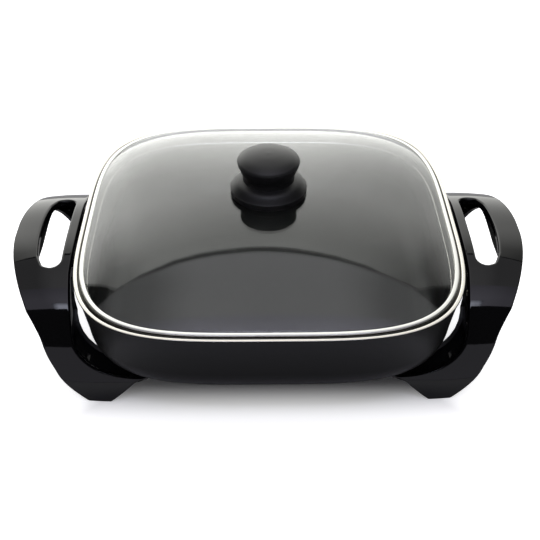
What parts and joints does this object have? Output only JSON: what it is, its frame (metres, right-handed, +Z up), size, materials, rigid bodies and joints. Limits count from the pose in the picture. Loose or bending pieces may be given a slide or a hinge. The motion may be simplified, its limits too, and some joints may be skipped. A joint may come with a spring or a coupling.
{
  "type": "electric skillet",
  "caption": "Square electric skillet with a cast non-stick pan on moulded handle-and-leg housings, a domed glass lid with metal band and knob, and terminals for a plug-in thermostat.",
  "frame": {"origin": "on the surface the feet stand on, under the middle of the pan", "axes": "+Z up; +X towards the terminals under the right handle; -Y is the front"},
  "size_m": [0.4364, 0.318, 0.1608],
  "materials": {
    "pan_coating": "die-cast, black non-stick coating; bare metal on the rim flange",
    "element_sheath": "dull drawn tube, heat-tinted",
    "terminal_plating": "bright nickel plate",
    "insulator_ceramic": "unglazed steatite",
    "well_casting": "cast, as machined",
    "guard_paint": "satin black enamel on sheet",
    "zinc_screw": "zinc plated",
    "zinc_washer": "zinc plated",
    "handle_phenolic": "glossy black moulded phenolic",
    "lid_glass": "clear tempered",
    "band_steel": "polished stainless",
    "knob_phenolic": "satin black moulded phenolic",
    "insert_brass": "turned and knurled",
    "gasket_silicone": "moulded silicone"
  },
  "bodies": {
    "skillet": {"pan": "pan_coating", "heating_element": "element_sheath", "terminal_pin_front": "terminal_plating", "terminal_pin_rear": "terminal_plating", "terminal_insulator_front": "insulator_ceramic", "terminal_insulator_rear": "insulator_ceramic", "sensor_well": "well_casting", "terminal_guard": "guard_paint", "guard_screws": "zinc_screw", "left_handle": "handle_phenolic", "right_handle": "handle_phenolic", "leg_screws": "zinc_screw", "leg_washers": "zinc_washer", "web_screws": "zinc_screw", "web_washers": "zinc_washer"},
    "lid": {"lid_glass": "lid_glass", "lid_band": "band_steel", "knob_cap": "knob_phenolic", "knob_skirt": "knob_phenolic", "knob_insert": "insert_brass", "knob_screw": "zinc_screw", "knob_washer": "zinc_washer", "knob_gasket_upper": "gasket_silicone", "knob_gasket_lower": "gasket_silicone"}
  },
  "joints": [
    {"name": "lid_lift", "type": "slide", "parent": "skillet", "child": "lid", "axis": [0, 0, 1], "range_m": [0, 0.15]}
  ]
}
